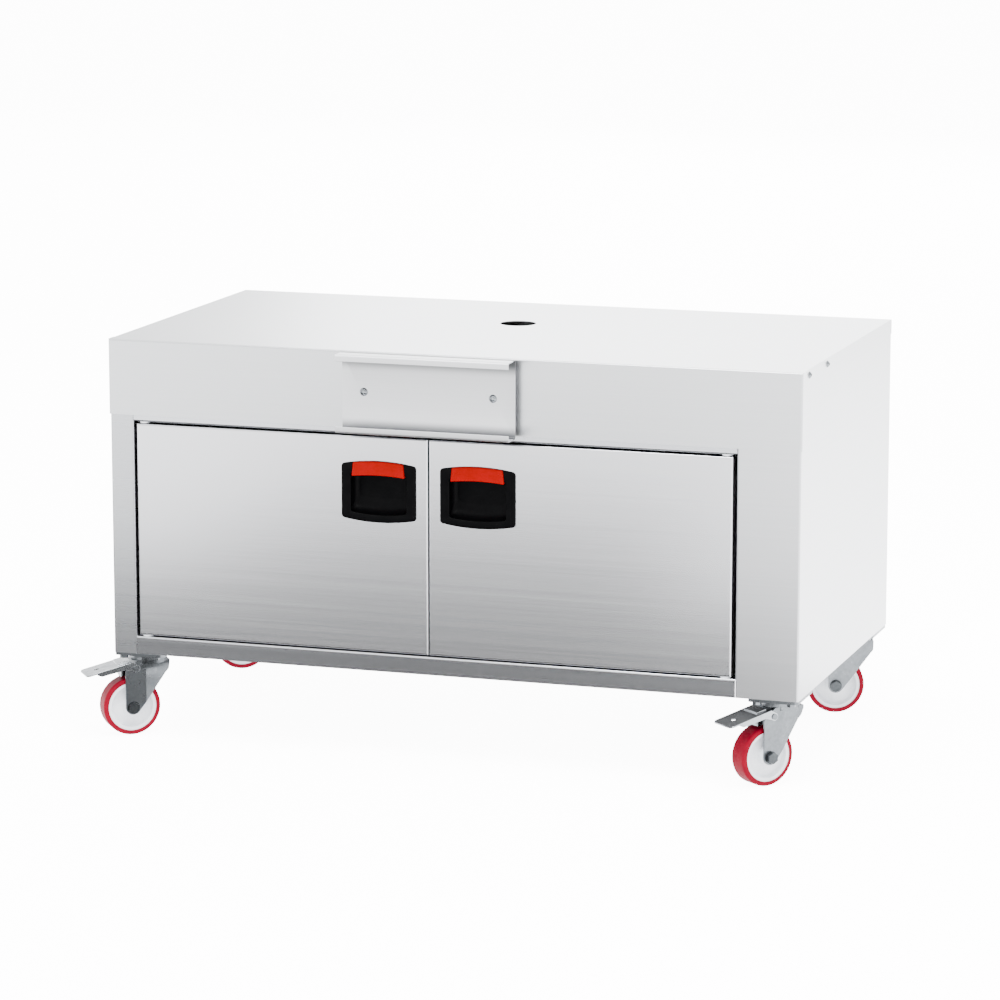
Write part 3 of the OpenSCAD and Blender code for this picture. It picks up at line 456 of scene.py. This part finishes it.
# %% Mould both covers and their lips
COVER, LIP = (44.0, 45.0, 21.5, 2.2), (45.9, 25.1, 22.1, 1.2)
COVER_BACK, COVER_EDGE, COVER_ROUND, COVER_BULGE = -3.0, -3.8, 2, 1.9
CROWN_INWARD, CROWN_AT = [6, 12], [-5.9, -6.0]
LIP_FRONT, LIP_STRAIGHT, LIP_ROUND = -5.0, 10.8, 1.2

cover_table = np.vstack([
    rows(COVER, [0, 0], [COVER_BACK, COVER_EDGE]),
    rows(COVER, COVER_ROUND * (1 - np.cos(bend)), COVER_EDGE - COVER_BULGE * np.sin(bend)),
    rows(COVER, CROWN_INWARD, CROWN_AT),
])
lip_table = np.vstack([
    rows(LIP, LIP_ROUND * (1 - np.sin(bend)), LIP_STRAIGHT + LIP_ROUND * np.cos(bend)),
    rows(LIP, [0], [LIP_FRONT]),
])
for side, x in HANDLE_X.items():
    at = (x, DOOR_FRONT, HANDLE_Z)
    mesh = skin(f"{side}_red_cover", arched_rings(cover_table, foot=1.0, flare=2.5), at)
    mount(mesh.name, mesh, red_abs, f"{side}_door", "red_plastic", f"{side}_door_grip_cover")
    mesh = skin(f"{side}_red_lip", arched_rings(lip_table, foot=1.0), at)
    mount(mesh.name, mesh, red_abs, f"{side}_door", "red_plastic")

# %% [markdown]
# ## Pressed and folded parts
# Forks, pedals and plates are pressed from sheet steel, and the bracket is folded, so none of
# their edges is sharp. The CAD solids have the right shape but crisp corners, which catch no
# light. A copy of each solid gets its triangles merged, and a Bevel modifier rounds every corner
# that is sharper than 35 degrees.

# %% Softened copies of CAD parts
SHARP, FLAT = math.radians(35), math.radians(0.5)
SAME_PLACE_M = 1e-6


def merged_copy(node, planes=()):
    """A CAD node's mesh with doubled corners merged and flat faces joined, then cut by planes."""
    solid = bmesh.new()
    solid.from_mesh(nodes[node].data)
    bmesh.ops.remove_doubles(solid, verts=solid.verts, dist=SAME_PLACE_M)
    bmesh.ops.dissolve_limit(solid, angle_limit=FLAT, verts=solid.verts, edges=solid.edges)
    for point, normal in planes:
        everything = [*solid.verts, *solid.edges, *solid.faces]
        bmesh.ops.bisect_plane(solid, geom=everything, dist=SAME_PLACE_M, plane_co=point,
                               plane_no=normal)
    mesh = bpy.data.meshes.new(f"soft_{node}")
    solid.to_mesh(mesh)
    solid.free()
    return mesh


def softened(node, mesh, width_mm, finish, body, slot):
    """The finished piece: the mesh with rounded edges, in place of its node."""
    mesh.shade_smooth()
    mesh.set_sharp_from_angle(angle=SHARP)
    piece = mount(mesh.name, mesh, finish, body, slot, node)
    bevel = piece.modifiers.new("rounded_edges", "BEVEL")
    bevel.width, bevel.segments = width_mm * MM, 2
    bevel.limit_method, bevel.angle_limit = "ANGLE", SHARP
    bevel.harden_normals = True
    return piece


print(f"corners sharper than {math.degrees(SHARP):.0f} degrees get rounded")

# %% [markdown]
# A real fork also bends inwards ahead of its axle, because it wraps round the swivel's head: the
# bend puts the front of each leg in a different light from the flat part that holds the wheel.
# The CAD legs are flat, so the copy is first cut at a few levels, which gives the bend points to
# move, and at the crease, which keeps it crisp.

# %% Bend the legs of a fork
joints = {joint["name"]: joint for joint in frame["joints"]}
CREASE, CROWN_DROP = 12 * MM, 6 * MM
BEND_TAN = math.tan(math.radians(13))
CUTS_MM = (0.3, 4, 8, 12, 16, 20, 30, 42)
FADE_FROM, FADE = CUTS_MM[0] * MM, 20 * MM


def fork_place(caster):
    """Where a caster swivels, the level direction to its axle, and the height of its crown."""
    swivel, axle = (Vector(joints[f"{caster}_{kind}"]["pos_m"]) for kind in ("swivel", "wheel_spin"))
    along = Vector((axle.x - swivel.x, axle.y - swivel.y, 0)).normalized()
    return swivel, along, swivel.z - CROWN_DROP


def leg_cuts(caster):
    """The planes that cut a fork, as points and normals: one at the crease, the others level."""
    swivel, along, crown = fork_place(caster)
    levels = [(Vector((0, 0, crown - drop * MM)), Vector((0, 0, 1))) for drop in CUTS_MM]
    return [(swivel + along * CREASE, along), *levels]


def bend_legs(mesh, caster):
    """Moves what lies ahead of the crease towards the middle: y loses 0.23 (crease - x) of its size.

    x runs from the swivel to the axle. The bend fades out from 20 mm below the crown up to it.
    """
    swivel, along, crown = fork_place(caster)
    points = np.empty(3 * len(mesh.vertices))
    mesh.vertices.foreach_get("co", points)
    points = points.reshape(-1, 3)
    ahead = np.array(along)
    across = np.array([-ahead[1], ahead[0], 0])
    x, y = ((points - np.array(swivel)) @ direction for direction in (ahead, across))
    fade = np.clip((crown - FADE_FROM - points[:, 2]) / FADE, 0, 1)
    push = -np.sign(y) * BEND_TAN * np.maximum(CREASE - x, 0) * fade
    mesh.vertices.foreach_set("co", (points + push[:, None] * across).ravel())
    mesh.update()


print(f"legs bend by {BEND_TAN:.2f} of their way to the crease, after {len(CUTS_MM) + 1} cuts")

# %% [markdown]
# One brake pedal shows a dark top, because its zinc mirrors something dark, and that dark reflection is
# painted. A second material on the same mesh does that: every face whose normal points mostly up is given
# the near black paint, and the edges and the underside stay zinc.

# %% Fit the softened parts
PEDAL_WITH_PAINTED_TOP = "front_right_caster"
UPWARD = 0.5


def paint_dark_reflection(piece):
    """Gives the painted dark reflection to each face whose normal points upwards by more than 0.5."""
    piece.data.materials.append(dark_top_paint)
    normals = np.empty(3 * len(piece.data.polygons))
    piece.data.polygons.foreach_get("normal", normals)
    looks_up = normals[2::3] > UPWARD
    piece.data.polygons.foreach_set("material_index", looks_up.astype(np.int32))


for caster in CASTERS:
    fork = merged_copy(f"{caster}_fork", leg_cuts(caster))
    bend_legs(fork, caster)
    softened(f"{caster}_fork", fork, 0.7, zinc, f"{caster}_yoke", "zinc")
    pedal_mesh = merged_copy(f"{caster}_pedal")
    pedal = softened(f"{caster}_pedal", pedal_mesh, 0.5, bright_zinc, f"{caster}_brake", "zinc")
    # painted dark reflection on the top of this one pedal
    if caster == PEDAL_WITH_PAINTED_TOP:
        paint_dark_reflection(pedal)
    softened(f"{caster}_plate", merged_copy(f"{caster}_plate"), 0.6, zinc, "cabinet", "zinc")
softened("front_bracket", merged_copy("front_bracket"), 0.9, bracket_steel, "cabinet", "brushed_sheet")

# %% [markdown]
# ## Floor and cards
# The photograph was taken on a white sweep, which is lit until it vanishes. Two floors make it
# here. The one that the camera sees glows white, and only it takes the soft shadows. The other,
# just under it, is what the metal mirrors, and it is less bright, because polished steel would
# otherwise shine harder from below than from above. Three cards on the floor are seen only in the
# metal, as in a studio: two dark ones in front darken the lower part of the doors, and a bright
# one at the back right fills the side of the cabinet.

# %% A flat piece and the paint on it


def flat(name, half, middle, finish, **rays):
    """A level rectangle of a half width and depth round its middle. rays says what sees it."""
    corners = [(middle[0] + i * half[0], middle[1] + j * half[1], middle[2])
               for i, j in ((-1, -1), (1, -1), (1, 1), (-1, 1))]
    mesh = bpy.data.meshes.new(name)
    mesh.from_pydata(corners, [], [(0, 1, 2, 3)])
    mesh.materials.append(finish)
    piece = bpy.data.objects.new(name, mesh)
    bpy.context.scene.collection.objects.link(piece)
    for ray, seen in rays.items():
        setattr(piece, f"visible_{ray}", seen)
    print(f"{name}: {2 * half[0]:.2f} x {2 * half[1]:.2f} m")


def matt(name, colour, glow):
    """A matt paint that also glows, as a lit paper does."""
    paint, _, shader, _ = new_material(name, Roughness=0.9, Emission_Strength=glow)
    shader.inputs["Base Color"].default_value = linear(colour)
    shader.inputs["Emission Color"].default_value = linear("#FFFFFF")
    return paint


# %% Lay the floors and the cards
SWEEP = (60, 60)
ON_FLOOR, UNDER_FLOOR = 0.004, -0.002
IN_METAL = {"camera": False, "diffuse": False, "shadow": False}

flat("floor", SWEEP, (0, 0, 0), matt("lit_white_floor", "#F2F2F2", 11.0), glossy=False, diffuse=False)
flat("mirrored_floor", SWEEP, (0, 0, UNDER_FLOOR), matt("mirrored_floor", "#E8E8E8", 2.2), camera=False)
flat("wide_card", (1.8, 0.66), (-1.2, -1.0, ON_FLOOR), matt("dark_card", "#202020", 0.0), **IN_METAL)
flat("middle_card", (0.52, 0.60), (-0.54, -2.15, ON_FLOOR), matt("middle_card", "#505050", 0.0), **IN_METAL)
flat("bright_card", (1.4, 2.0), (2.0, 2.4, ON_FLOOR), matt("bright_card", "#F2F2F2", 3.6), **IN_METAL)

# %% [markdown]
# ## Light
# The sky is a plain white tent, and two soft panels add to it: a wide one far behind, which the
# top mirrors, and one overhead, which draws a bright line along the folded edges of the top.

# %% Make the lights
SKY_GLOW = 2.6

world = bpy.data.worlds.new("studio")
bpy.context.scene.world = world
world.use_nodes = True
sky = world.node_tree.nodes["Background"]
sky.inputs[0].default_value = linear("#FFFFFF")
sky.inputs[1].default_value = SKY_GLOW


def soft_panel(name, at, aim, width, height, watts):
    """A rectangular area light at a point, turned to face another."""
    lamp = bpy.data.lights.new(name, "AREA")
    lamp.shape = "RECTANGLE"
    lamp.size, lamp.size_y = width, height
    lamp.energy = watts
    panel = bpy.data.objects.new(name, lamp)
    panel.location = at
    panel.rotation_euler = (Vector(aim) - Vector(at)).to_track_quat("-Z", "Y").to_euler()
    bpy.context.scene.collection.objects.link(panel)
    print(f"{name}: {width} x {height} m, {watts} W")


soft_panel("back_panel_light", at=(0.2, 9.0, 3.6), aim=(0.0, 0.0, 1.2), width=8.4, height=5.0, watts=700)
soft_panel("top_panel_light", at=(0.5, -1.5, 4.5), aim=(0, 0, 0.5), width=3.0, height=3.0, watts=450)
